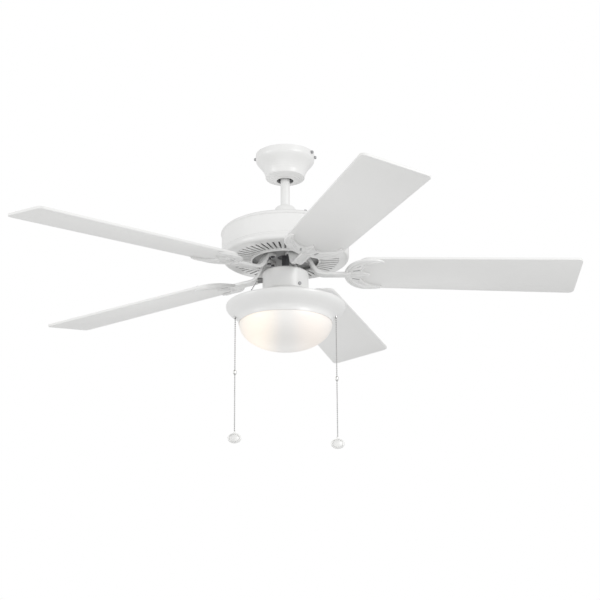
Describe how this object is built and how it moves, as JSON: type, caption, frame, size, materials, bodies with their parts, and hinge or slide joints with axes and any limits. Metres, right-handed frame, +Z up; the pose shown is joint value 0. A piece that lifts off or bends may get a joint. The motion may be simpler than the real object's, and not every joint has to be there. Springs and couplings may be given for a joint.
{
  "type": "ceiling fan with light",
  "caption": "Ceiling fan with flat pitched blades on cast arms, ball-hung short downrod, drum motor housing and a frosted bowl light with pull chains.",
  "frame": {"origin": "centre of the ceiling face of the hanger bracket, midway between the two outlet-box screw holes", "axes": "+Z up along the downrod and the rotor's axis; +X along the line of the outlet-box screws and close to blade 1 (0.67 degrees off); -Y towards the front view"},
  "size_m": [1.2241, 1.2806, 0.687],
  "materials": {
    "satin_white": "satin white enamel",
    "blade_white": "white laminated board",
    "zinc_steel": "zinc plated",
    "dark_iron": "dark lacquered steel",
    "nickel": "nickel plated",
    "pendant_metal": "satin nickel on light alloy",
    "copper": "enamelled copper",
    "black_plastic": "moulded",
    "rubber_black": "moulded rubber",
    "socket_white": "glazed socket",
    "bulb_glass": "frosted lamp glass",
    "opal_glass": "frosted opal glass"
  },
  "bodies": {
    "ceiling_mount": {"hanger_bracket": "zinc_steel", "canopy": "satin_white", "canopy_screws": "zinc_steel"},
    "hanging_frame": {"hanger_ball": "rubber_black", "downrod": "satin_white", "rod_pins": "zinc_steel", "coupling_cover": "satin_white", "motor_yoke": "zinc_steel", "yoke_set_screws": "zinc_steel", "motor_shaft": "zinc_steel", "shaft_nut": "zinc_steel", "upper_housing": "satin_white", "lower_housing": "satin_white", "housing_screws": "zinc_steel", "stator_core": "dark_iron", "stator_windings": "copper", "switch_housing": "satin_white", "switch_plate": "satin_white", "switch_housing_screws": "zinc_steel", "fan_pull_switch": "black_plastic", "chain_nipple": "nickel", "capacitor": "black_plastic", "reverse_switch": "black_plastic", "fitter_plate": "satin_white", "light_pan": "satin_white", "socket_bracket": "zinc_steel", "lamp_sockets": "socket_white", "bulbs": "bulb_glass", "light_pull_switch": "black_plastic", "glass_clips": "zinc_steel", "chain_grommet": "nickel"},
    "rotor": {"rotor_upper_bell": "zinc_steel", "rotor_lower_bell": "zinc_steel", "rotor_ring": "dark_iron", "bearings": "zinc_steel", "blade_arm_1": "satin_white", "blade_arm_2": "satin_white", "blade_arm_3": "satin_white", "blade_arm_4": "satin_white", "blade_arm_5": "satin_white", "blade_1": "blade_white", "blade_2": "blade_white", "blade_3": "blade_white", "blade_4": "blade_white", "blade_5": "blade_white", "arm_screws": "dark_iron", "blade_screws": "satin_white"},
    "fan_plunger": {"fan_switch_plunger": "zinc_steel"},
    "fan_upper_link": {"fan_chain_upper": "nickel"},
    "fan_pull_chain": {"fan_chain": "nickel", "fan_connector": "nickel"},
    "fan_pull_tail": {"fan_tail_chain": "nickel", "fan_pendant": "pendant_metal"},
    "light_pull_chain": {"light_chain": "nickel", "light_connector": "nickel"},
    "light_pull_tail": {"light_tail_chain": "nickel", "light_pendant": "pendant_metal"},
    "reverse_slide": {"reverse_knob": "black_plastic"},
    "glass_shade": {"glass_bowl": "opal_glass"}
  },
  "joints": [
    {"name": "hanger_tilt", "type": "hinge", "parent": "ceiling_mount", "child": "hanging_frame", "pos_m": [0, 0, -0.036], "axis": [1, 0, 0], "range_deg": [-12, 12]},
    {"name": "rotor_spin", "type": "hinge", "parent": "hanging_frame", "child": "rotor", "pos_m": [0, 0, -0.22], "axis": [0, 0, 1], "continuous": true},
    {"name": "fan_pull", "type": "slide", "parent": "hanging_frame", "child": "fan_pull_chain", "axis": [0, 0, -1], "range_m": [0, 0.008], "stiffness_N_per_m": 600, "springref_m": -0.004},
    {"name": "fan_upper_pull", "type": "slide", "parent": "hanging_frame", "child": "fan_upper_link", "axis": [-0.5035, 0, -0.864], "range_m": [0, 0.008], "stiffness_N_per_m": 100, "springref_m": -0.004},
    {"name": "fan_plunger_pull", "type": "slide", "parent": "hanging_frame", "child": "fan_plunger", "axis": [-1, 0, 0], "range_m": [0, 0.008], "stiffness_N_per_m": 100, "springref_m": -0.004},
    {"name": "fan_swing", "type": "hinge", "parent": "fan_pull_chain", "child": "fan_pull_tail", "pos_m": [-0.111, 0, -0.516], "axis": [0, 1, 0], "range_deg": [-15, 15]},
    {"name": "light_pull", "type": "slide", "parent": "hanging_frame", "child": "light_pull_chain", "axis": [0, 0, -1], "range_m": [0, 0.008], "stiffness_N_per_m": 600, "springref_m": -0.004},
    {"name": "light_swing", "type": "hinge", "parent": "light_pull_chain", "child": "light_pull_tail", "pos_m": [0.111, 0, -0.531], "axis": [0, 1, 0], "range_deg": [-15, 15]},
    {"name": "reverse_switch_slide", "type": "slide", "parent": "hanging_frame", "child": "reverse_slide", "axis": [0, 0, 1], "range_m": [0, 0.006]},
    {"name": "glass_twist", "type": "hinge", "parent": "hanging_frame", "child": "glass_shade", "pos_m": [0, 0, -0.4], "axis": [0, 0, 1], "range_deg": [0, 25]}
  ],
  "couplings": [
    {"joint": "fan_upper_pull", "follows": "fan_pull", "ratio": 1},
    {"joint": "fan_plunger_pull", "follows": "fan_pull", "ratio": 1}
  ]
}
